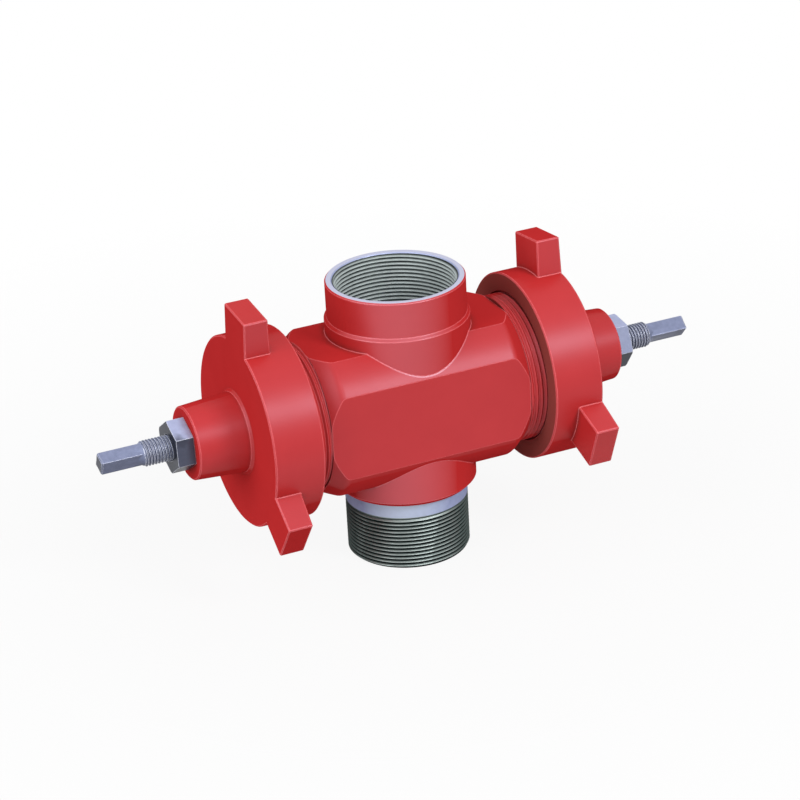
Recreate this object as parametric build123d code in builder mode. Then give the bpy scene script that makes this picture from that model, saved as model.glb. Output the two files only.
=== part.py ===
# Sucker rod blowout preventer with two hand-turned rams.
#
# Frame, in millimetres: X along the rams, Z up along the rod, and the origin at the
# bottom centre of the nipple that the preventer stands on. The rams are drawn open.

import os
from math import radians, tan

from build123d import *

os.makedirs("parts", exist_ok=True)

# Rod passage and tubing connections
bore_d = 76.0  # clear passage for the rod string
pin_wall = 9.625  # from the passage out to the crests of the nipple's tubing thread
pin_len = 43.6  # threaded length below the bare ring
bare_ring_len = 12.4  # plain ring between the thread and the body
pin_nose_cut = 1.6  # chamfer on the nipple's lower end
spigot_step = 0.8  # how much the nipple steps in above the bare ring
socket_depth = 23.5  # how far the nipple screws into the body
socket_web = 2.3  # left between the socket and the keyway
thread_gap = 0.3  # radial room round a screwed joint
box_depth = 50.0  # threaded depth of the top box
box_web = 1.3  # left between the box and the ram bore
box_floor_drop = 4.0  # cone between the box thread and the passage
mouth_cut = 1.0  # chamfer at the box's mouth

# Body: a round bar along the rams with four flats, and turned necks above and below
bar_length = 165.0
bar_rise = 7.9  # from the ends of the bar's shoulders up to its round
shoulder_angle = 36.0  # slope of the coned shoulders, in degrees
shoulder_round = 8.0  # radius between each shoulder and the round
front_drop = 1.2  # from the ends of the shoulders down to the front and back flats
top_drop = 3.2  # the same for the top and bottom flats
collar_step = 0.3  # from the cap thread up to the ends of the shoulders
box_wall = 5.6  # neck wall round the box thread
neck_ledge = 2.1  # width and height of the sloped ledge round the upper neck
neck_step = 67.8  # top of the ledge above the ram axis
lower_wall = 7.4  # from the pin's crests out to the lower neck
lower_edge_cut = 3.0  # chamfer under the lower neck
neck_edge_cut = 1.2  # the same round the top rim
ram_margin = 3.0  # from the rod passage out to the ram bore
end_wall = 17.0  # from the ram bore out to the cap thread
thread_depth = 3.1  # depth of the undercut beside the cap thread
relief_len = 15.2  # length of that undercut
cap_thread_len = 23.8
body_end_cut = 2.0

# Guide keys under the rams
key_width = 10.0
key_length = 24.0
key_depth = 7.0  # how deep the key sits in the ram
key_reach = 4.7  # how far it stands into the body's keyway
key_gap = 0.3
key_back = 9.0  # from the ram's back to the key

# End caps with three hammer lugs
cap_wall = 15.7  # round the cap's thread
cap_floor_wall = 13.6
cap_lap = 2.0  # how far the cap reaches over the undercut
cap_rim_cut = 0.9  # chamfer on the cap's rims and the hub's end
cap_mouth_cut = 1.5
lug_reach = 26.3  # from the cap's rim to the lug's tip
lug_width = 37.6
lug_depth = 21.0  # along the ram axis, at its root
lug_draft = 3.0  # slope of the lug's inner face, in degrees
lug_edge_cut = 0.8
lug_clock = 6.4  # turn of the first lug from straight up, in degrees
lug_count = 3
hub_wall = 11.35  # round the gland, at the hub's end
hub_len = 41.4
hub_draft = 4.0  # degrees
hub_root_cone = 1.8  # leg of the small cone round the hub's root
seal_width = 5.0
seal_sunk = 3.6  # groove depth
cap_floor_gap = 0.6  # between the body's end and the cap's floor

# Stem gland in the hub
packing_wall = 6.7  # from the stem's hole out to the gland
gland_depth = 32.0
packing_len = 14.0
packing_vee = 2.0
follower_len = 6.0
gland_gap = 0.2
nut_over = 1.2  # how far the nut's flats stand out over the gland
nut_len = 14.0
nut_gap = 0.5  # radial room round the stem
nut_face_share = 1.1  # flat end's radius against that of the flats
nut_corner_angle = 30.0
nut_clocks = {-1: 35.0, 1: 6.5}

# Stems
stem_d = 20.0
stem_gap = 0.3
bare_thread_len = 21.9  # stem thread outside the nut, rams open
wrench_len = 33.5
wrench_flats = 12.0
wrench_clocks = {-1: -22.0, 1: 42.0}
wrench_run = 5.0  # cone from the thread down to the square
wrench_nose_d = 13.0  # flat end inside the turned nose
wrench_nose_angle = 30.0
stem_neck_step = 1.0  # from the thread down to the neck behind the head
head_lip = 9.0  # how far the head stands out over the neck
head_len = 8.0
head_cut = 1.0

# Rams
ram_gap = 0.3  # radial room in the ram bore
open_gap = 1.5  # from the rod passage to the open ram's face
face_gap = 5.0  # left between the two faces when the rams are closed
ram_room = 5.6  # between the open ram's back and the cap's floor
face_seal_len = 15.0
face_seal_gap = 0.3  # the rubber stands in by this much
tongue_len = 9.0
tongue_root = 16.0  # tongue's height at the plate and at its end
tongue_end = 22.0
rod_groove_d = 25.4
top_seal_width = 8.0
top_seal_depth = 5.0
top_seal_slack = 0.1  # all round in its groove
top_seal_back = 3.0  # from the end of the tongue to the groove
lip_len = 9.0  # what the stem's head pulls on
slot_gap = 0.4
ram_edge_cut = 1.0

overrun = 5.0

# Worked out from the sizes above: radii first, then stations along each axis
ram_bore_r = bore_d / 2 + ram_margin
keyway_r = ram_bore_r + key_reach + key_gap
cap_thread_r = ram_bore_r + end_wall
relief_r = cap_thread_r - thread_depth
collar_r = cap_thread_r + collar_step
cap_socket_r = cap_thread_r + thread_gap
cap_r = cap_socket_r + cap_wall
lug_tip_r = cap_r + lug_reach
lug_root_r = (cap_socket_r + cap_r) / 2
pin_r = bore_d / 2 + pin_wall
box_r = pin_r + thread_gap
upper_neck_r = box_r + box_wall
neck_r = upper_neck_r + neck_ledge
lower_neck_r = pin_r + lower_wall
spigot_r = pin_r - spigot_step
bar_r = collar_r + bar_rise
front_r = collar_r - front_drop
top_r = collar_r - top_drop
seal_mid_r = (keyway_r + relief_r) / 2
stem_hole_r = stem_d / 2 + stem_gap
gland_r = stem_hole_r + packing_wall
packing_r = gland_r - gland_gap
vee_r = (packing_r + stem_hole_r) / 2
hub_r = gland_r + hub_wall
hub_root_r = hub_r + hub_len * tan(radians(hub_draft))
nut_flat_r = gland_r + nut_over
nut_face_r = nut_flat_r * nut_face_share
stem_neck_r = stem_d / 2 - stem_neck_step
head_r = stem_neck_r + head_lip
ram_r = ram_bore_r - ram_gap

neck_low_z = pin_len + bare_ring_len
axis_z = neck_low_z + socket_depth + socket_web + keyway_r
box_floor_z = axis_z + ram_bore_r + box_web
rim_z = box_floor_z + box_floor_drop + box_depth

bar_half = bar_length / 2
shoulder_len = bar_rise / tan(radians(shoulder_angle))
thread_start = bar_half + relief_len
body_end = thread_start + cap_thread_len
cap_mouth = thread_start - cap_lap
cap_floor = body_end + cap_floor_gap
cap_face = cap_floor + cap_floor_wall
hub_end = cap_face + hub_len
gland_floor = hub_end - gland_depth
packing_end = gland_floor + packing_len
follower_end = packing_end + follower_len
nut_end = hub_end + nut_len
stem_thread_end = nut_end + bare_thread_len
stem_tip = stem_thread_end + wrench_len
ram_face = bore_d / 2 + open_gap
ram_back = cap_floor - ram_room
plate_back = ram_face + face_seal_len
tongue_back = plate_back + tongue_len
top_seal_mid = tongue_back + top_seal_back + top_seal_width / 2
head_start = ram_back - lip_len - slot_gap - head_len
key_end = ram_back - key_back

ram_axis = Axis((0, 0, axis_z), (1, 0, 0))
sides = {"left": -1, "right": 1}


def across(side, distance):
    """Plane square to the ram axis, facing outwards on one side, with its y up."""
    return Plane((side * distance, 0, axis_z), x_dir=(0, side, 0), z_dir=(side, 0, 0))


def along(side):
    """Plane through the ram axis: x runs outwards from the middle and y is up."""
    return Plane((0, 0, axis_z), x_dir=(side, 0, 0), z_dir=(0, -side, 0))


def save(piece, name):
    """Label a finished piece and write it."""
    piece.part.label = name
    export_step(piece.part, f"parts/{name}.step")


# Body
with BuildPart() as body:
    with BuildSketch(along(1)) as bar_outline:
        with BuildLine():
            Polyline(
                (-bar_half, 0),
                (-bar_half, collar_r),
                (shoulder_len - bar_half, bar_r),
                (bar_half - shoulder_len, bar_r),
                (bar_half, collar_r),
                (bar_half, 0),
                close=True,
            )
        make_face()
        for place in (shoulder_len - bar_half, bar_half - shoulder_len):
            shoulder_top = bar_outline.vertices().sort_by_distance((place, bar_r, 0))[0]
            fillet(shoulder_top, radius=shoulder_round)
    revolve(axis=ram_axis)
    with BuildSketch(across(1, 0)):
        Rectangle(front_r + front_r, top_r + top_r)
    extrude(amount=bar_half, both=True, mode=Mode.INTERSECT)

    # Threaded ends for the caps, with an undercut beside the bar
    with BuildSketch(along(1)):
        with BuildLine():
            Polyline(
                (0, 0),
                (0, relief_r),
                (thread_start, relief_r),
                (thread_start, cap_thread_r),
                (body_end - body_end_cut, cap_thread_r),
                (body_end, cap_thread_r - body_end_cut),
                (body_end, 0),
                close=True,
            )
        make_face()
        mirror(about=Plane.YZ)
    revolve(axis=ram_axis)

    # Necks
    with BuildSketch(Plane.XZ):
        with BuildLine():
            Polyline(
                (0, neck_low_z),
                (lower_neck_r - lower_edge_cut, neck_low_z),
                (lower_neck_r, neck_low_z + lower_edge_cut),
                (lower_neck_r, axis_z),
                (neck_r, axis_z),
                (neck_r, axis_z + neck_step - neck_ledge),
                (upper_neck_r, axis_z + neck_step),
                (upper_neck_r, rim_z - neck_edge_cut),
                (upper_neck_r - neck_edge_cut, rim_z),
                (0, rim_z),
                close=True,
            )
        make_face()
    revolve(axis=Axis.Z)

    # Rod passage with the box above and the nipple's socket below
    with BuildSketch(Plane.XZ):
        with BuildLine():
            Polyline(
                (0, neck_low_z),
                (spigot_r + thread_gap, neck_low_z),
                (spigot_r + thread_gap, neck_low_z + socket_depth),
                (bore_d / 2, neck_low_z + socket_depth),
                (bore_d / 2, box_floor_z),
                (box_r, rim_z - box_depth),
                (box_r, rim_z - mouth_cut),
                (box_r + mouth_cut, rim_z),
                (0, rim_z),
                close=True,
            )
        make_face()
    revolve(axis=Axis.Z, mode=Mode.SUBTRACT)

    # Ram bore, its keyway and the seal grooves in the ends
    with BuildSketch(across(1, 0)):
        Circle(ram_bore_r)
        with Locations((0, -keyway_r / 2)):
            Rectangle(key_width + key_gap + key_gap, keyway_r)
    extrude(amount=body_end, both=True, mode=Mode.SUBTRACT)
    for side in sides.values():
        with BuildSketch(across(side, body_end - seal_sunk)):
            Circle(seal_mid_r + seal_width / 2)
            Circle(seal_mid_r - seal_width / 2, mode=Mode.SUBTRACT)
        extrude(amount=seal_sunk, mode=Mode.SUBTRACT)
save(body, "body")

# Nipple with the tubing pin that hangs below the body
with BuildPart() as nipple:
    with BuildSketch(Plane.XZ):
        with BuildLine():
            Polyline(
                (bore_d / 2, 0),
                (pin_r - pin_nose_cut, 0),
                (pin_r, pin_nose_cut),
                (pin_r, neck_low_z),
                (spigot_r, neck_low_z),
                (spigot_r, neck_low_z + socket_depth),
                (bore_d / 2, neck_low_z + socket_depth),
                close=True,
            )
        make_face()
    revolve(axis=Axis.Z)
save(nipple, "nipple")

for name, side in sides.items():
    # One hammer lug, standing straight up, that the cap repeats
    with BuildPart() as lug:
        lug_back = cap_face - lug_depth
        lug_slope = (lug_tip_r - lug_root_r) * tan(radians(lug_draft))
        with BuildSketch(along(side)):
            with BuildLine():
                Polyline(
                    (lug_back, lug_root_r),
                    (lug_back + lug_slope, lug_tip_r),
                    (cap_face, lug_tip_r),
                    (cap_face, lug_root_r),
                    close=True,
                )
            make_face()
        extrude(amount=lug_width / 2, both=True)
        chamfer(lug.edges().group_by(Axis.Z)[1:], length=lug_edge_cut)

    # End cap with its hub and lugs
    with BuildPart() as cap:
        with BuildSketch(along(side)) as cap_outline:
            with BuildLine():
                Polyline(
                    (cap_mouth, cap_socket_r + cap_mouth_cut),
                    (cap_mouth, cap_r),
                    (cap_face, cap_r),
                    (cap_face, hub_root_r),
                    (hub_end, hub_r),
                    (hub_end, gland_r),
                    (gland_floor, gland_r),
                    (gland_floor, stem_hole_r),
                    (cap_floor, stem_hole_r),
                    (cap_floor, cap_socket_r),
                    (cap_mouth + cap_mouth_cut, cap_socket_r),
                    close=True,
                )
            make_face()
            for rim in ((cap_mouth, cap_r, 0), (cap_face, cap_r, 0), (hub_end, hub_r, 0)):
                chamfer(cap_outline.vertices().sort_by_distance(rim)[0], length=cap_rim_cut)
            hub_root = cap_outline.vertices().sort_by_distance((cap_face, hub_root_r, 0))[0]
            chamfer(hub_root, length=hub_root_cone)
        revolve(axis=ram_axis)
        for turn in range(lug_count):
            add(lug.part.rotate(ram_axis, 360 / lug_count * turn - side * lug_clock))
    save(cap, f"{name}_end_cap")

    # Seal ring between the body's end and the cap's floor
    with BuildPart() as cap_seal:
        with BuildSketch(across(side, body_end - seal_sunk)):
            Circle(seal_mid_r + seal_width / 2)
            Circle(seal_mid_r - seal_width / 2, mode=Mode.SUBTRACT)
        extrude(amount=seal_sunk + cap_floor_gap)
    save(cap_seal, f"{name}_cap_seal")

    # Packing, follower and gland nut round the stem
    with BuildPart() as packing:
        with BuildSketch(along(side)):
            with BuildLine():
                Polyline(
                    (gland_floor, stem_hole_r),
                    (gland_floor, packing_r),
                    (packing_end, packing_r),
                    (packing_end - packing_vee, vee_r),
                    (packing_end, stem_hole_r),
                    close=True,
                )
            make_face()
        revolve(axis=ram_axis)
    save(packing, f"{name}_stem_packing")

    with BuildPart() as follower:
        with BuildSketch(along(side)):
            with BuildLine():
                Polyline(
                    (packing_end, packing_r),
                    (follower_end, packing_r),
                    (follower_end, stem_hole_r),
                    (packing_end, stem_hole_r),
                    (packing_end - packing_vee, vee_r),
                    close=True,
                )
            make_face()
        revolve(axis=ram_axis)
    save(follower, f"{name}_packing_follower")

    with BuildPart() as nut:
        with BuildSketch(across(side, hub_end)):
            RegularPolygon(nut_flat_r, 6, major_radius=False, rotation=nut_clocks[side])
        extrude(amount=nut_len)
        crown_len = nut_face_r * tan(radians(nut_corner_angle))
        with BuildSketch(along(side)):
            with BuildLine():
                Polyline(
                    (hub_end, 0),
                    (hub_end, nut_face_r + nut_face_r),
                    (nut_end - crown_len, nut_face_r + nut_face_r),
                    (nut_end, nut_face_r),
                    (nut_end, 0),
                    close=True,
                )
            make_face()
        revolve(axis=ram_axis, mode=Mode.INTERSECT)
        with BuildSketch(across(side, follower_end)):
            Circle(packing_r)
        extrude(amount=hub_end - follower_end)
        with BuildSketch(across(side, follower_end)):
            Circle(stem_d / 2 + nut_gap)
        extrude(amount=nut_end - follower_end, mode=Mode.SUBTRACT)
    save(nut, f"{name}_gland_nut")

    # Stem: a button head in the ram, a threaded shank and a square for the wrench
    with BuildPart() as stem:
        head_end = head_start + head_len
        neck_end = ram_back + slot_gap
        with BuildSketch(along(side)):
            with BuildLine():
                Polyline(
                    (head_start, 0),
                    (head_start, head_r - head_cut),
                    (head_start + head_cut, head_r),
                    (head_end, head_r),
                    (head_end, stem_neck_r),
                    (neck_end, stem_neck_r),
                    (neck_end, stem_d / 2),
                    (stem_thread_end, stem_d / 2),
                    (stem_thread_end + wrench_run, wrench_flats / 2),
                    (stem_thread_end + wrench_run, 0),
                    close=True,
                )
            make_face()
        revolve(axis=ram_axis)
        with BuildSketch(across(side, stem_thread_end)):
            Circle(stem_d / 2)
            Rectangle(wrench_flats, wrench_flats, rotation=wrench_clocks[side], mode=Mode.INTERSECT)
        extrude(amount=stem_tip - stem_thread_end)
        nose_len = head_r * tan(radians(wrench_nose_angle))
        with BuildSketch(along(side)):
            with BuildLine():
                Polyline(
                    (head_start, 0),
                    (head_start, wrench_nose_d / 2 + head_r),
                    (stem_tip - nose_len, wrench_nose_d / 2 + head_r),
                    (stem_tip, wrench_nose_d / 2),
                    (stem_tip, 0),
                    close=True,
                )
            make_face()
        revolve(axis=ram_axis, mode=Mode.INTERSECT)
    save(stem, f"{name}_stem")

    # Ram block with its T-slot, tongue slot, seal groove and key seat
    with BuildPart() as ram:
        with BuildSketch(across(side, plate_back)):
            Circle(ram_r)
        extrude(amount=ram_back - plate_back)
        chamfer(ram.faces().sort_by(Axis.X)[-1 if side > 0 else 0].edges(), length=ram_edge_cut)
        with BuildSketch(across(side, head_start - slot_gap)):
            Circle(head_r + slot_gap)
            with Locations((0, ram_r / 2)):
                Rectangle(head_r + head_r + slot_gap + slot_gap, ram_r)
        extrude(amount=head_len + slot_gap + slot_gap, mode=Mode.SUBTRACT)
        with BuildSketch(across(side, head_start)):
            Circle(stem_neck_r + slot_gap)
            with Locations((0, ram_r / 2)):
                Rectangle(stem_neck_r + stem_neck_r + slot_gap + slot_gap, ram_r)
        extrude(amount=ram_back - head_start, mode=Mode.SUBTRACT)
        with BuildSketch(along(side)):
            with BuildLine():
                Polyline(
                    (plate_back, tongue_root / 2),
                    (tongue_back, tongue_end / 2),
                    (tongue_back, -tongue_end / 2),
                    (plate_back, -tongue_root / 2),
                    close=True,
                )
            make_face()
        extrude(amount=ram_r, both=True, mode=Mode.SUBTRACT)
        with BuildSketch(Plane((0, 0, axis_z), x_dir=(side, 0, 0), z_dir=(0, 0, side))):
            with Locations((top_seal_mid, ram_r - top_seal_depth / 2)):
                Rectangle(top_seal_width, top_seal_depth)
        revolve(axis=ram_axis, revolution_arc=180, mode=Mode.SUBTRACT)
        with BuildSketch(across(side, key_end - key_length)):
            with Locations((0, -ram_r - overrun / 2 + key_depth / 2)):
                Rectangle(key_width, key_depth + overrun)
        extrude(amount=key_length, mode=Mode.SUBTRACT)
    save(ram, f"{name}_ram")

    # Rubber plate on the ram's face, with its dovetail tongue and half the rod groove
    seal_r = ram_r - face_seal_gap
    with BuildPart() as face_seal:
        with BuildSketch(across(side, ram_face)):
            Circle(seal_r)
        extrude(amount=face_seal_len + tongue_len)
        with BuildSketch(along(side)):
            with BuildLine():
                Polyline(
                    (ram_face, ram_r),
                    (plate_back, ram_r),
                    (plate_back, tongue_root / 2),
                    (tongue_back, tongue_end / 2),
                    (tongue_back, -tongue_end / 2),
                    (plate_back, -tongue_root / 2),
                    (plate_back, -ram_r),
                    (ram_face, -ram_r),
                    close=True,
                )
            make_face()
        extrude(amount=ram_r, both=True, mode=Mode.INTERSECT)
        with BuildSketch(Plane.XY.offset(axis_z)):
            with Locations((side * (ram_face - face_gap / 2), 0)):
                Circle(rod_groove_d / 2)
        extrude(amount=ram_r, both=True, mode=Mode.SUBTRACT)
    save(face_seal, f"{name}_ram_face_seal")

    # Half-ring seal over the ram
    with BuildPart() as top_seal:
        with BuildSketch(Plane((0, 0, axis_z), x_dir=(side, 0, 0), z_dir=(0, 0, side))):
            with Locations((top_seal_mid, ram_r - top_seal_depth / 2)):
                Rectangle(
                    top_seal_width - top_seal_slack - top_seal_slack,
                    top_seal_depth - top_seal_slack - top_seal_slack,
                )
        revolve(axis=ram_axis, revolution_arc=180)
    save(top_seal, f"{name}_ram_top_seal")

    # Key that keeps the ram from turning
    with BuildPart() as key:
        with BuildSketch(across(side, key_end - key_length)):
            with Locations((0, -ram_r + (key_depth - key_reach) / 2)):
                Rectangle(key_width, key_depth + key_reach)
        extrude(amount=key_length)
    save(key, f"{name}_guide_key")
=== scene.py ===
"""Looks of the sucker rod blowout preventer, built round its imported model.

Metres, in the model's frame: X along the rams, Z up along the rod, the front at -Y.
"""

from math import cos, pi, radians, sin, tau

import bmesh
import bpy
from mathutils import Matrix, Vector

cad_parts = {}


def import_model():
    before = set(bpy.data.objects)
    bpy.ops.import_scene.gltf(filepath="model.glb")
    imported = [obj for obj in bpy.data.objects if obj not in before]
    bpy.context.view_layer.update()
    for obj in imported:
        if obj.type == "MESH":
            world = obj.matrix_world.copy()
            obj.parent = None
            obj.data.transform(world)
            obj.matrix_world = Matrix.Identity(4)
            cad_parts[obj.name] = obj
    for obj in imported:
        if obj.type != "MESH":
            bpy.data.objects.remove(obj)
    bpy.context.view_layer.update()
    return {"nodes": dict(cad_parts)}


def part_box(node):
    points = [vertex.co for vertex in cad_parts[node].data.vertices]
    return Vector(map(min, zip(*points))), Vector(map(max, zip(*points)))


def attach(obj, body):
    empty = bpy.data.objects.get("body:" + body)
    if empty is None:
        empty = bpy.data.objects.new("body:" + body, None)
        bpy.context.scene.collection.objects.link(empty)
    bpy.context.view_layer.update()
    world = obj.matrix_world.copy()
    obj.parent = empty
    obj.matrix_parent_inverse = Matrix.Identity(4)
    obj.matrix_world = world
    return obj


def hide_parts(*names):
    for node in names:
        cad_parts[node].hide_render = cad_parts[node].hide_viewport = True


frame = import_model()
nodes = frame["nodes"]
sides = {"left": -1, "right": 1}

# Places that the frame gives
rim_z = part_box("body")[1].z
neck_low_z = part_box("body")[0].z
pin_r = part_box("nipple")[1].x
nipple_top_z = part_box("nipple")[1].z
stem_head_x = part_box("right_stem")[0].x
stem_tip_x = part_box("right_stem")[1].x
head_r = (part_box("right_stem")[1].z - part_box("right_stem")[0].z) / 2
ram_z = (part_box("right_stem")[1].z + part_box("right_stem")[0].z) / 2
cap_mouth_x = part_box("right_end_cap")[0].x
ram_back_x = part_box("right_ram")[1].x

# Tubing threads: eight rounded turns to the inch
tubing_pitch = 0.003175
tubing_depth = 0.0018
pin_len = 0.0436
pin_nose_cut = 0.0016
bore_r = 0.038
spigot_r = 0.046825
box_r = 0.047925
box_len = 0.0485
box_skin = 0.0002
box_start_share = 0.15
mouth_cut = 0.001

# Cap threads on the body, painted with it
cap_pitch = 0.004
cap_thread_r = 0.058
cap_thread_depth = 0.0017
undercut_r = 0.0551
undercut_x = 0.0828

# Stems
stem_r = 0.010
stem_pitch = 0.0025
stem_thread_depth = 0.0013
stem_thread_x = 0.213
stem_end_cut = 0.0012
stem_neck_r = 0.009
stem_head_len = 0.008
stem_head_cut = 0.001
stem_slot_gap = 0.0004
wrench_flats = 0.012
wrench_corner_share = 1.36
wrench_nose_cut = 0.001
wrench_run = 0.005
wrench_clocks = {-1: radians(-22.0), 1: radians(42.0)}

# Fineness of the meshes
thread_columns = 192
stem_columns = 96
pin_rows_per_turn = 10
box_rows_per_turn = 8
cap_rows_per_turn = 10
stem_rows_per_turn = 8
wrench_run_rows = 10
thread_crease = radians(40.0)
stem_crease = radians(35.0)

# Share of a vee thread's pitch that is flat at the crest, and again at the root
vee_flat = 0.1


# Meshes

def about_rod(station, radius, angle):
    """Point round the rod's axis, at a height."""
    return (radius * cos(angle), radius * sin(angle), station)


def about_rams(side):
    """Points round the ram axis, with stations outwards along one side."""
    def place(station, radius, angle):
        return (side * station, side * radius * cos(angle), ram_z + radius * sin(angle))
    return place


def turned(name, place, rows, columns, first_angle=0.0, ring=False):
    """Closed mesh from rows of (station, radius), where a radius may be a function of the angle.

    With ring set, the last row joins the first. Otherwise both ends are closed with a fan.
    """
    angles = [first_angle + tau * column / columns for column in range(columns)]
    points = []
    for station, radius in rows:
        for angle in angles:
            points.append(place(station, radius(angle) if callable(radius) else radius, angle))
    faces = []
    bands = len(rows) if ring else len(rows) - 1
    for row in range(bands):
        near = row * columns
        far = (row + 1) % len(rows) * columns
        for column in range(columns):
            beside = (column + 1) % columns
            faces.append((near + column, near + beside, far + beside, far + column))
    if not ring:
        for row in (0, len(rows) - 1):
            near = row * columns
            middle = len(points)
            points.append(place(rows[row][0], 0.0, 0.0))
            for column in range(columns):
                faces.append((near + column, near + (column + 1) % columns, middle))
    mesh = bpy.data.meshes.new(name)
    mesh.from_pydata(points, [], faces)
    mesh.validate()
    made = bpy.data.objects.new(name, mesh)
    bpy.context.scene.collection.objects.link(made)
    face_outwards(mesh)
    return made


def face_outwards(mesh):
    """Turn all faces of a closed mesh the same way, outwards."""
    work = bmesh.new()
    work.from_mesh(mesh)
    bmesh.ops.recalc_face_normals(work, faces=work.faces)
    work.to_mesh(mesh)
    work.free()


def round_dip(phase):
    """Rounded thread: 0 at a crest and 1 at a root."""
    return 0.5 - 0.5 * cos(tau * phase)


def vee_dip(phase):
    """Vee thread with narrow flats: 0 at a crest and 1 at a root."""
    from_crest = abs(2 * (phase % 1.0) - 1)
    return min(1.0, max(0.0, (from_crest - vee_flat) / (1 - 2 * vee_flat)))


def helix(crest, depth, pitch, station, dip):
    """Radius of a right-hand thread at one station, as a function of the angle."""
    def radius(angle):
        return crest - depth * dip(station / pitch - angle / tau)
    return radius


def cut_to(limit, thread):
    """A thread's radius, cut down to a limit."""
    return lambda angle: min(limit, thread(angle))


def stations(start, end, step):
    """Evenly spaced places from start to end."""
    count = max(1, round(abs(end - start) / step))
    return [start + (end - start) * i / count for i in range(count + 1)]


def smooth(obj, crease):
    """Smooth shading, with edges sharper than the crease angle kept."""
    obj.data.polygons.foreach_set("use_smooth", [True] * len(obj.data.polygons))
    obj.data.set_sharp_from_angle(angle=crease)


# Threaded pieces

def nipple():
    """Pin thread, plain ring, hidden spigot and bore, in one closed turning."""
    rows = []
    for z in stations(0.0, pin_len, tubing_pitch / pin_rows_per_turn):
        depth = tubing_depth * min(1.0, (pin_len - z) / tubing_pitch)
        nose = pin_r - max(0.0, pin_nose_cut - z)
        rows.append((z, cut_to(nose, helix(pin_r, depth, tubing_pitch, z, round_dip))))
    rows += [(neck_low_z, pin_r), (neck_low_z, spigot_r), (nipple_top_z, spigot_r)]
    rows += [(nipple_top_z, bore_r), (0.0, bore_r)]
    made = turned("pin_nipple", about_rod, rows, thread_columns, ring=True)
    smooth(made, thread_crease)
    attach(made, "housing")
    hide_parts("nipple")
    return made


def box_thread():
    """Thread inside the top box, as a thin sleeve on its wall."""
    top = rim_z - mouth_cut
    outer = box_r - box_skin
    rows = [(top, outer), (top - box_len, outer)]
    for z in stations(top - box_len, top, tubing_pitch / box_rows_per_turn):
        depth = tubing_depth * min(1.0, (top - z) / tubing_pitch + box_start_share)
        rows.append((z, helix(outer - box_skin, depth, tubing_pitch, z, round_dip)))
    made = turned("box_thread", about_rod, rows, thread_columns, ring=True)
    smooth(made, thread_crease)
    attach(made, "housing")
    return made


def cap_thread(name, side):
    """Body thread that the cap leaves bare, as a thin sleeve in the undercut."""
    end = cap_mouth_x + cap_pitch / 2
    rows = [(end, undercut_r), (undercut_x, undercut_r)]
    for x in stations(undercut_x, end, cap_pitch / cap_rows_per_turn):
        rows.append((x, helix(cap_thread_r, cap_thread_depth, cap_pitch, x, vee_dip)))
    made = turned(f"{name}_cap_thread", about_rams(side), rows, thread_columns, ring=True)
    smooth(made, thread_crease)
    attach(made, "housing")
    return made


def stem(name, side):
    """Stem with its button head, threaded shank and wrench square."""
    head_end = stem_head_x + stem_head_len
    thread_x = ram_back_x + stem_slot_gap
    clock = wrench_clocks[side]
    half = wrench_flats / 2
    corner = half * wrench_corner_share
    shank_end_r = stem_r - stem_end_cut

    def square(least=0.0, cut=0.0):
        """Wrench square with rounded corners, no thinner than least, less a cut all round."""
        def radius(angle):
            flat = half / max(abs(cos(angle - clock)), abs(sin(angle - clock)))
            return max(least, min(corner, flat)) - cut
        return radius

    rows = [
        (stem_head_x, head_r - stem_head_cut),
        (stem_head_x + stem_head_cut, head_r),
        (head_end, head_r),
        (head_end, stem_neck_r),
        (thread_x, stem_neck_r),
    ]
    for x in stations(thread_x, stem_thread_x, stem_pitch / stem_rows_per_turn):
        nose = stem_r - max(0.0, x - stem_thread_x + stem_end_cut)
        rows.append((x, cut_to(nose, helix(stem_r, stem_thread_depth, stem_pitch, x, vee_dip))))
    for x in stations(stem_thread_x, stem_thread_x + wrench_run, wrench_run / wrench_run_rows):
        cone = shank_end_r - (shank_end_r - half) * (x - stem_thread_x) / wrench_run
        rows.append((x, square(least=cone)))
    rows += [
        (stem_tip_x - wrench_nose_cut, square()),
        (stem_tip_x, square(cut=wrench_nose_cut)),
    ]
    made = turned(f"{name}_screw_stem", about_rams(side), rows, stem_columns, clock + pi / 4)
    smooth(made, stem_crease)
    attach(made, f"{name}_stem")
    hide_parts(f"{name}_stem")
    return made


# Shader nodes

noise_detail = 3.0
fine_detail = 4.0
bevel_samples = 6
edge_starts = 0.985
edge_full = 0.90


def put(tree, kind, settings=None, sockets=None):
    """Add a node, set its properties, and set or link its input sockets."""
    made = tree.nodes.new(kind)
    for key, value in (settings or {}).items():
        setattr(made, key, value)
    for key, value in (sockets or {}).items():
        if isinstance(value, bpy.types.NodeSocket):
            tree.links.new(value, made.inputs[key])
        else:
            made.inputs[key].default_value = value
    return made


def maths(tree, operation, first, second=0.0):
    """One Math node's output."""
    return put(tree, "ShaderNodeMath", {"operation": operation}, {0: first, 1: second}).outputs[0]


def times(tree, first, second):
    """Two numbers multiplied; for masks, where both are."""
    return maths(tree, "MULTIPLY", first, second)


def outside(tree, mask):
    """1 where a mask is 0, and 0 where it is 1."""
    return maths(tree, "SUBTRACT", 1.0, mask)


def vector_maths(tree, operation, sockets):
    """One Vector Math node's number."""
    return put(tree, "ShaderNodeVectorMath", {"operation": operation}, sockets).outputs["Value"]


def parts(tree, vector):
    """A vector's X, Y and Z."""
    return put(tree, "ShaderNodeSeparateXYZ", {}, {0: vector}).outputs


def distance(tree, first, second):
    """Distance from an axis, from the two offsets across it."""
    offset = put(tree, "ShaderNodeCombineXYZ", {}, {0: first, 1: second}).outputs[0]
    return vector_maths(tree, "LENGTH", {0: offset})


def blend_colour(tree, share, first, second):
    """Mix two colours by a share."""
    sockets = {0: share, 6: first, 7: second}
    return put(tree, "ShaderNodeMix", {"data_type": "RGBA"}, sockets).outputs[2]


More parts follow.
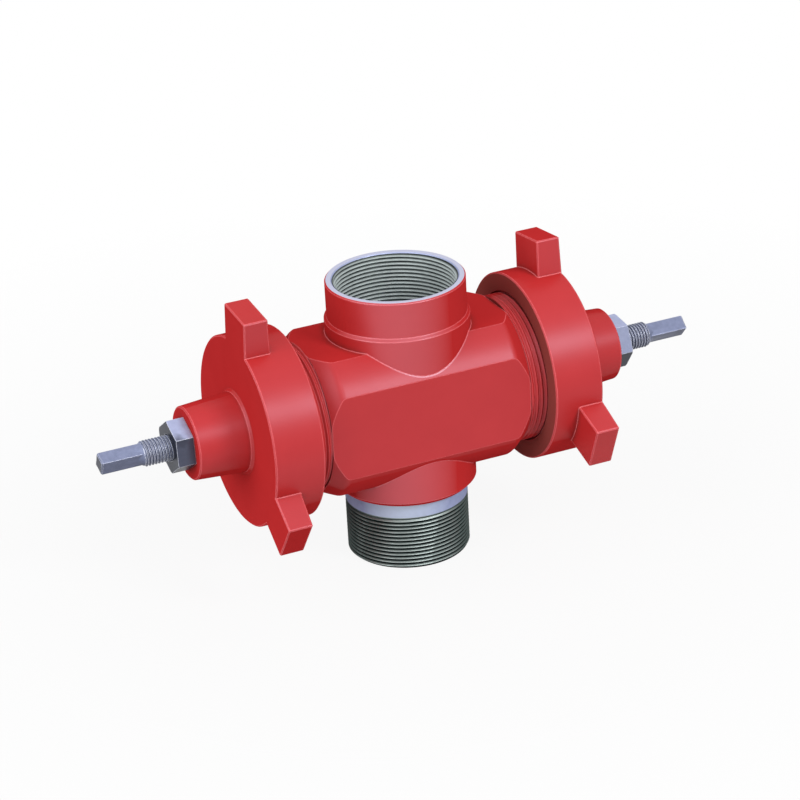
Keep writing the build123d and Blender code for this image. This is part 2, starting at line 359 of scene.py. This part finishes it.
def blend_value(tree, share, first, second):
    """Mix two numbers by a share."""
    return put(tree, "ShaderNodeMix", {"data_type": "FLOAT"}, {0: share, 2: first, 3: second}).outputs[0]


def ramp(tree, value, low, high):
    """Rise from 0 at low to 1 at high."""
    return put(tree, "ShaderNodeMapRange", {"clamp": True}, {0: value, 1: low, 2: high}).outputs[0]


def noise(tree, place, scale, detail=noise_detail):
    """Noise about 0.5, at a scale per metre."""
    sockets = {"Vector": place, "Scale": scale, "Detail": detail}
    return put(tree, "ShaderNodeTexNoise", {}, sockets).outputs["Fac"]


def object_place(tree):
    """Position in the piece's own frame."""
    return put(tree, "ShaderNodeTexCoord").outputs["Object"]


def object_look(tree):
    """X, Y and Z of the way a face looks, in the piece's own frame."""
    return parts(tree, put(tree, "ShaderNodeTexCoord").outputs["Normal"])


def near_edge(tree, radius):
    """Rounded normal at edges, and a mask that is 1 along them."""
    bevel = put(tree, "ShaderNodeBevel", {"samples": bevel_samples}, {"Radius": radius}).outputs[0]
    flat = put(tree, "ShaderNodeNewGeometry").outputs["Normal"]
    along = vector_maths(tree, "DOT_PRODUCT", {0: bevel, 1: flat})
    return bevel, ramp(tree, along, edge_starts, edge_full)


def roughen(tree, shader, height, strength, depth, normal=None):
    """Give a shader a bump from a height, on top of a normal where there is one."""
    sockets = {"Strength": strength, "Distance": depth, "Height": height}
    if normal is not None:
        sockets["Normal"] = normal
    bump = put(tree, "ShaderNodeBump", {}, sockets)
    tree.links.new(bump.outputs[0], shader.inputs["Normal"])


def new_material(name):
    """Empty material with a Principled shader."""
    material = bpy.data.materials.new(name)
    material.use_nodes = True
    tree = material.node_tree
    return material, tree, tree.nodes["Principled BSDF"]


# Shine, full where a surface faces the eye and lost where it is seen at a slant

facing_blend = 0.5
gloss_full = 0.18
gloss_none = 0.58
streak_full = 0.08
streak_none = 0.38


def shine(tree, shader, full, none, level):
    """Shine of a level, between the slants where it is full and where there is none."""
    slant = put(tree, "ShaderNodeLayerWeight", {}, {"Blend": facing_blend}).outputs["Facing"]
    level = times(tree, ramp(tree, slant, none, full), level)
    tree.links.new(level, shader.inputs["Specular IOR Level"])


# Red enamel, with painted highlights along edges and painted shade in corners

paint_low = (0.45, 0.0225, 0.0235, 1.0)
paint_high = (0.50, 0.0280, 0.0290, 1.0)
paint_patch_scale = 45.0
# Painted highlight along edges, and its shares on the enamel and on the threads
painted_edge_highlight = (1.0, 0.22, 0.24, 1.0)
paint_edge_r = 0.0014
edge_highlight_share = 0.9
thread_edge_highlight_share = 0.3
# Painted shade in corners that ambient occlusion finds, with its full share and its share on the threads
painted_corner_shade = (0.14, 0.030, 0.026, 1.0)
shade_full = 1.0
thread_shade = 0.45
corner_reach = 0.012
corner_samples = 4
corner_open = 0.75
corner_closed = 0.25

paint_gloss = 0.42
neck_gloss = 1.30
lug_gloss = 0.62
paint_glint = (0.80, 0.82, 1.0, 1.0)
paint_rough_low = 0.35
paint_rough_high = 0.42
paint_rough_scale = 25.0
peel_scale = 420.0
peel_detail = 2.0
peel_strength = 0.04
peel_depth = 0.0004

# Where the caps' lugs, hub roots and inner faces are
cap_r = 0.0745
hub_root_x = 0.1367
hub_root_r = 0.0345
# Share of the painted edge highlight left on the caps' faces at the hub roots
hub_root_highlight_share = 0.1
# Painted shade: the caps' inner faces, in the gap at the body, are coloured a darker brown
painted_mouth_shade = (0.26, 0.056, 0.048, 1.0)
mouth_look_starts = -0.8
mouth_look_full = -0.95

# Where the body's necks, ram bore and rim are
neck_r = 0.0563
neck_off = 0.030
ram_bore_reach = 0.050
rim_skin = 0.0002
rim_steel = (0.52, 0.53, 0.66, 1.0)
bore_low = (0.31, 0.35, 0.52, 1.0)
bore_high = (0.46, 0.51, 0.74, 1.0)
bore_grain_scale = 160.0
bare_metallic = 0.3


def paint_colour(tree, place, edge, edge_light, shade):
    """Enamel colour: slightly uneven, with a painted highlight along edges and painted shade in corners."""
    colour = blend_colour(tree, noise(tree, place, paint_patch_scale), paint_low, paint_high)
    # Painted shade in corners
    hollow = put(tree, "ShaderNodeAmbientOcclusion", {"samples": corner_samples}, {"Distance": corner_reach})
    dark = times(tree, ramp(tree, hollow.outputs["AO"], corner_open, corner_closed), shade)
    colour = blend_colour(tree, dark, colour, painted_corner_shade)
    # Painted highlight along edges
    return blend_colour(tree, times(tree, edge, edge_light), colour, painted_edge_highlight)


def gloss(tree, shader, place, bevel, level, full=gloss_full, none=gloss_none):
    """Roughness, fine orange peel and shine of the enamel."""
    shine(tree, shader, full, none, level)
    shader.inputs["Specular IOR Level"].default_value = paint_gloss
    shader.inputs["Specular Tint"].default_value = paint_glint
    patch = noise(tree, place, paint_rough_scale)
    roughness = blend_value(tree, patch, paint_rough_low, paint_rough_high)
    tree.links.new(roughness, shader.inputs["Roughness"])
    roughen(tree, shader, noise(tree, place, peel_scale, peel_detail), peel_strength, peel_depth, bevel)


def red_paint(name, edge_light, shade):
    """Enamel of the caps and their threads, with shares of painted edge highlight and of painted corner
    shade.
    """
    material, tree, shader = new_material(name)
    place = object_place(tree)
    x, y, z = parts(tree, place)
    reach = distance(tree, y, maths(tree, "SUBTRACT", z, ram_z))
    on_lug = maths(tree, "GREATER_THAN", reach, cap_r)
    by_hub = maths(tree, "LESS_THAN", reach, hub_root_r)
    before_hub = maths(tree, "LESS_THAN", maths(tree, "ABSOLUTE", x), hub_root_x)
    bevel, edge = near_edge(tree, paint_edge_r)
    # Less painted edge highlight on the caps' faces at the hub roots
    edge = times(tree, edge, blend_value(tree, times(tree, before_hub, by_hub), 1.0, hub_root_highlight_share))
    outward = times(tree, object_look(tree)[0], maths(tree, "SIGN", x))
    inner_face = times(tree, ramp(tree, outward, mouth_look_starts, mouth_look_full), outside(tree, on_lug))
    colour = paint_colour(tree, place, edge, edge_light, shade)
    # Painted shade on the caps' inner faces, away from their edges
    colour = blend_colour(tree, times(tree, inner_face, outside(tree, edge)), colour, painted_mouth_shade)
    tree.links.new(colour, shader.inputs["Base Color"])
    gloss(tree, shader, place, bevel, blend_value(tree, on_lug, paint_gloss, lug_gloss))
    return material


def body_paint():
    """Enamel outside, bare steel on the box's rim and in the bores."""
    material, tree, shader = new_material("body_enamel")
    place = object_place(tree)
    x, y, z = parts(tree, place)
    height = maths(tree, "SUBTRACT", z, ram_z)
    from_rod = distance(tree, x, y)
    in_box = maths(tree, "LESS_THAN", from_rod, box_r + mouth_cut)
    in_ram_bore = maths(tree, "LESS_THAN", distance(tree, y, height), ram_bore_reach)
    in_bore = maths(tree, "MAXIMUM", in_box, in_ram_bore)
    on_rim = maths(tree, "GREATER_THAN", z, rim_z - rim_skin)
    bevel, edge = near_edge(tree, paint_edge_r)
    metal = blend_colour(tree, noise(tree, place, bore_grain_scale), bore_low, bore_high)
    # Enamel with its painted edge highlight and painted corner shade
    colour = paint_colour(tree, place, edge, edge_highlight_share, shade_full)
    colour = blend_colour(tree, in_bore, colour, metal)
    colour = blend_colour(tree, on_rim, colour, rim_steel)
    tree.links.new(colour, shader.inputs["Base Color"])
    metallic = times(tree, maths(tree, "MAXIMUM", on_rim, in_bore), bare_metallic)
    tree.links.new(metallic, shader.inputs["Metallic"])
    off_rams = maths(tree, "GREATER_THAN", maths(tree, "ABSOLUTE", height), neck_off)
    on_neck = times(tree, maths(tree, "LESS_THAN", from_rod, neck_r), off_rams)
    level = blend_value(tree, on_neck, paint_gloss, neck_gloss)
    full = blend_value(tree, on_neck, gloss_full, streak_full)
    none = blend_value(tree, on_neck, gloss_none, streak_none)
    gloss(tree, shader, place, bevel, level, full, none)
    return material


# Bare steel, painted bright where it looks up and with painted shade where it looks down and on end faces; a
# look is how far up a face looks, from -1 to 1, where it is dark and where it is bright

stem_low = (0.165, 0.19, 0.295, 1.0)
stem_high = (0.28, 0.315, 0.48, 1.0)
stem_dark_look = -1.8
stem_bright_look = 0.9
nut_low = bore_low
nut_high = bore_high
nut_dark_look = 0.0
nut_bright_look = 0.7
# Painted shade on undersides and end faces
painted_steel_shade = (0.028, 0.032, 0.048, 1.0)
end_look_starts = 0.6
end_look_full = 0.95
end_shade_share = 0.95
steel_stain = (0.10, 0.11, 0.16, 1.0)
stain_scale = 35.0
stain_starts = 0.62
stain_full = 0.75
# Painted highlight along edges
painted_steel_edge_highlight = (0.80, 0.83, 0.95, 1.0)
steel_edge_r = 0.0008
steel_edge_highlight_share = 0.9
steel_rough_low = 0.32
steel_rough_high = 0.46
steel_gloss = 0.2
streak_scale = 260.0
streak_strength = 0.08
streak_depth = 0.0002


def steel_colour(tree, streak, stain, low, high, dark_look, bright_look):
    """Streaked steel with random stains, painted bright where it looks up, with painted shade on ends and
    undersides.
    """
    look = object_look(tree)
    upward = ramp(tree, look[2], dark_look, bright_look)
    endward = ramp(tree, maths(tree, "ABSOLUTE", look[0]), end_look_starts, end_look_full)
    colour = blend_colour(tree, streak, low, high)
    colour = blend_colour(tree, ramp(tree, stain, stain_starts, stain_full), colour, steel_stain)
    # Painted shade where a face looks down and on end faces
    colour = blend_colour(tree, outside(tree, upward), colour, painted_steel_shade)
    return blend_colour(tree, times(tree, endward, end_shade_share), colour, painted_steel_shade)


def bare_steel(name, low, high, dark_look, bright_look):
    """Machined steel with a painted highlight along edges."""
    material, tree, shader = new_material(name)
    place = object_place(tree)
    streak = noise(tree, place, streak_scale, fine_detail)
    stain = noise(tree, place, stain_scale)
    bevel, edge = near_edge(tree, steel_edge_r)
    colour = steel_colour(tree, streak, stain, low, high, dark_look, bright_look)
    # Painted highlight along edges
    colour = blend_colour(tree, times(tree, edge, steel_edge_highlight_share), colour, painted_steel_edge_highlight)
    roughness = blend_value(tree, stain, steel_rough_low, steel_rough_high)
    tree.links.new(colour, shader.inputs["Base Color"])
    tree.links.new(roughness, shader.inputs["Roughness"])
    roughen(tree, shader, streak, streak_strength, streak_depth, bevel)
    shader.inputs["Metallic"].default_value = bare_metallic
    shader.inputs["Specular IOR Level"].default_value = steel_gloss
    return material


# Steel of the tubing threads; a crest share is how far up from the root, where it starts and is full

# Painted shade in the thread roots, also the colour of random oil stains
oil_and_root_shade = (0.006, 0.010, 0.010, 1.0)
oil_share = 0.35
pin_crest = (0.105, 0.136, 0.130, 1.0)
pin_crest_starts = 0.2
pin_crest_full = 0.65
box_crest = (0.50, 0.56, 0.555, 1.0)
box_crest_starts = 0.3
box_crest_full = 0.9
ring_low = (0.25, 0.29, 0.46, 1.0)
ring_high = (0.35, 0.40, 0.62, 1.0)
thread_rough_low = 0.42
thread_rough_high = 0.54
thread_glint = (0.88, 1.0, 0.98, 1.0)
thread_gloss = 0.5
pin_gloss = 4.0


def thread_steel(name, root_r, crest_r, crest_colour, crest_starts, crest_full, ring_z=None):
    """Painted shade in the roots and brighter crests, told apart by the radius, with random oil stains.

    Where ring_z is given, the piece is plain metal above it, and that and the crests shine.
    """
    material, tree, shader = new_material(name)
    place = object_place(tree)
    x, y, z = parts(tree, place)
    rise = crest_r - root_r
    crest = ramp(tree, distance(tree, x, y), root_r + crest_starts * rise, root_r + crest_full * rise)
    streak = noise(tree, place, streak_scale, fine_detail)
    # Painted shade in the roots, then random oil stains
    colour = blend_colour(tree, crest, oil_and_root_shade, crest_colour)
    colour = blend_colour(tree, times(tree, streak, oil_share), colour, oil_and_root_shade)
    if ring_z is not None:
        on_ring = maths(tree, "GREATER_THAN", z, ring_z)
        colour = blend_colour(tree, on_ring, colour, blend_colour(tree, streak, ring_low, ring_high))
        level = times(tree, maths(tree, "MAXIMUM", crest, on_ring), pin_gloss)
        shine(tree, shader, streak_full, streak_none, level)
    roughness = blend_value(tree, streak, thread_rough_low, thread_rough_high)
    tree.links.new(colour, shader.inputs["Base Color"])
    tree.links.new(roughness, shader.inputs["Roughness"])
    shader.inputs["Specular Tint"].default_value = thread_glint
    shader.inputs["Specular IOR Level"].default_value = thread_gloss
    return material


def pin_steel():
    """Thread and plain ring of the pin."""
    root_r = pin_r - tubing_depth
    return thread_steel(
        "pin_thread_steel", root_r, pin_r, pin_crest, pin_crest_starts, pin_crest_full, ring_z=pin_len)


def box_steel():
    """Thread in the box, whose crests stand inwards."""
    crest_r = box_r - tubing_depth
    return thread_steel("box_thread_steel", box_r, crest_r, box_crest, box_crest_starts, box_crest_full)


# Finishes of the pieces inside

ram_low = (0.05, 0.055, 0.06, 1.0)
ram_high = (0.13, 0.14, 0.15, 1.0)
ram_grain_scale = 300.0
ram_roughness = 0.45
ram_metallic = 0.7
rubber_low = (0.010, 0.010, 0.010, 1.0)
rubber_high = (0.028, 0.027, 0.026, 1.0)
rubber_grain_scale = 500.0
rubber_roughness = 0.6
packing_low = (0.03, 0.028, 0.025, 1.0)
packing_high = (0.08, 0.075, 0.065, 1.0)
packing_grain_scale = 600.0
packing_roughness = 0.65
roughness_spread = 0.08
grain_strength = 0.15
grain_depth = 0.0003


def plain_finish(name, low, high, scale, roughness, metallic=0.0):
    """Uneven finish with a fine grain."""
    material, tree, shader = new_material(name)
    grain = noise(tree, object_place(tree), scale, fine_detail)
    uneven = blend_value(tree, grain, roughness - roughness_spread, roughness + roughness_spread)
    tree.links.new(blend_colour(tree, grain, low, high), shader.inputs["Base Color"])
    tree.links.new(uneven, shader.inputs["Roughness"])
    roughen(tree, shader, grain, grain_strength, grain_depth)
    shader.inputs["Metallic"].default_value = metallic
    return material


def dark_steel():
    """Phosphated steel of the rams."""
    return plain_finish("phosphated_steel", ram_low, ram_high, ram_grain_scale, ram_roughness, ram_metallic)


def black_rubber():
    """Nitrile rubber of the seals."""
    return plain_finish("nitrile_rubber", rubber_low, rubber_high, rubber_grain_scale, rubber_roughness)


def stem_packing():
    """Graphited packing round the stems."""
    return plain_finish(
        "graphited_packing", packing_low, packing_high, packing_grain_scale, packing_roughness)


# Every piece gets its finish

def dress(obj, material):
    """Give a piece one material."""
    obj.data.materials.clear()
    obj.data.materials.append(material)


enamel = red_paint("red_enamel", edge_highlight_share, shade_full)
thread_enamel = red_paint("thread_enamel", thread_edge_highlight_share, thread_shade)
steel = bare_steel("bare_steel", stem_low, stem_high, stem_dark_look, stem_bright_look)
nut_steel = bare_steel("nut_steel", nut_low, nut_high, nut_dark_look, nut_bright_look)
ram_steel = dark_steel()
rubber = black_rubber()
packing = stem_packing()

dress(nodes["body"], body_paint())
dress(nipple(), pin_steel())
dress(box_thread(), box_steel())
for name, side in sides.items():
    dress(cap_thread(name, side), thread_enamel)
    dress(stem(name, side), steel)
    dress(nodes[f"{name}_end_cap"], enamel)
    dress(nodes[f"{name}_gland_nut"], nut_steel)
    dress(nodes[f"{name}_packing_follower"], steel)
    dress(nodes[f"{name}_guide_key"], steel)
    dress(nodes[f"{name}_stem_packing"], packing)
    dress(nodes[f"{name}_ram"], ram_steel)
    for seal in ("cap_seal", "ram_face_seal", "ram_top_seal"):
        dress(nodes[f"{name}_{seal}"], rubber)


# Floor and light

floor_r = 0.75
floor_fade_r = 0.25
floor_corners = 96
floor_own_white = 0.90
floor_pale = (0.60, 0.60, 0.60, 1.0)
floor_roughness = 0.9
floor_gloss = 0.0
studio_white = (1.0, 1.0, 1.0, 1.0)
light_above = (0.72, 0.72, 0.73, 1.0)
light_below = (0.12, 0.12, 0.12, 1.0)
light_low = -0.2
light_high = 0.6
lamp_distance = 2.2
lamps = {
    "key": {"azimuth": -12.0, "elevation": 42.0, "size": 1.0, "watts": 9.0},
    "glint": {"azimuth": 27.0, "elevation": 35.0, "size": 0.6, "watts": 20.0},
    "side": {"azimuth": -80.0, "elevation": 22.0, "size": 1.8, "watts": 26.0},
}


def seen_ray(tree):
    """1 for what the camera sees, straight or in a reflection or through glass."""
    ray = put(tree, "ShaderNodeLightPath").outputs
    seen = maths(tree, "MAXIMUM", ray["Is Camera Ray"], ray["Is Glossy Ray"])
    return maths(tree, "MAXIMUM", seen, ray["Is Transmission Ray"])


def mix_shaders(tree, share, first, second):
    """Mix two shader nodes by a share."""
    return put(tree, "ShaderNodeMixShader", {}, {0: share, 1: first.outputs[0], 2: second.outputs[0]})


def floor():
    """Pale disc that keeps the shadow and fades into the white beyond it."""
    bpy.ops.mesh.primitive_circle_add(vertices=floor_corners, radius=floor_r, fill_type="NGON")
    made = bpy.context.object
    made.name = "floor"
    material, tree, shader = new_material("pale_floor")
    shader.inputs["Base Color"].default_value = floor_pale
    shader.inputs["Roughness"].default_value = floor_roughness
    shader.inputs["Specular IOR Level"].default_value = floor_gloss
    white = put(tree, "ShaderNodeEmission", {}, {"Color": studio_white})
    lit = mix_shaders(tree, times(tree, seen_ray(tree), floor_own_white), shader, white)
    reach = vector_maths(tree, "LENGTH", {0: object_place(tree)})
    clear = put(tree, "ShaderNodeBsdfTransparent")
    faded = mix_shaders(tree, ramp(tree, reach, floor_r, floor_fade_r), clear, lit)
    tree.links.new(faded.outputs[0], tree.nodes["Material Output"].inputs["Surface"])
    dress(made, material)


def world():
    """White walls to look at, and a plain level of light, stronger from above."""
    made = bpy.data.worlds.new("studio")
    bpy.context.scene.world = made
    made.use_nodes = True
    tree = made.node_tree
    tree.nodes.clear()
    height = parts(tree, put(tree, "ShaderNodeTexCoord").outputs["Generated"])[2]
    level = blend_colour(tree, ramp(tree, height, light_low, light_high), light_below, light_above)
    light = put(tree, "ShaderNodeBackground", {}, {"Color": level})
    white = put(tree, "ShaderNodeBackground", {}, {"Color": studio_white})
    both = mix_shaders(tree, seen_ray(tree), light, white)
    put(tree, "ShaderNodeOutputWorld", {}, {"Surface": both.outputs[0]})


def lamp(name, azimuth, elevation, size, watts):
    """Square lamp aimed at the body, at angles in degrees round it; azimuth 0 is the front."""
    data = bpy.data.lights.new(name, "AREA")
    data.shape = "SQUARE"
    data.size = size
    data.energy = watts
    made = bpy.data.objects.new(name, data)
    bpy.context.scene.collection.objects.link(made)
    made.visible_camera = False
    turn = radians(azimuth)
    rise = radians(elevation)
    away = Vector((sin(turn) * cos(rise), -cos(turn) * cos(rise), sin(rise)))
    made.location = Vector((0.0, 0.0, ram_z)) + away * lamp_distance
    made.rotation_euler = away.to_track_quat("Z", "Y").to_euler()


# Camera

camera_azimuth = radians(23.70)
camera_elevation = radians(24.66)
camera_roll = radians(3.11)
camera_distance = 2.438
camera_lens = 143.2
centre_right = 0.00085
centre_up = 0.00609


def camera():
    """Camera at the photograph's place, with the body's middle just off the picture's centre."""
    data = bpy.data.cameras.new("camera")
    data.lens = camera_lens
    made = bpy.data.objects.new("camera", data)
    bpy.context.scene.collection.objects.link(made)
    turn = Matrix.Rotation(-camera_azimuth, 4, "Z")
    tilt = Matrix.Rotation(pi / 2 - camera_elevation, 4, "X")
    roll = Matrix.Rotation(-camera_roll, 4, "Z")
    facing = turn @ tilt @ roll
    back = Vector((-centre_right, -centre_up, camera_distance))
    made.matrix_world = Matrix.Translation(Vector((0.0, 0.0, ram_z)) + facing @ back) @ facing
    bpy.context.scene.camera = made


floor()
world()
for name, settings in lamps.items():
    lamp(name, **settings)
camera()
bpy.context.scene.view_settings.view_transform = "Standard"
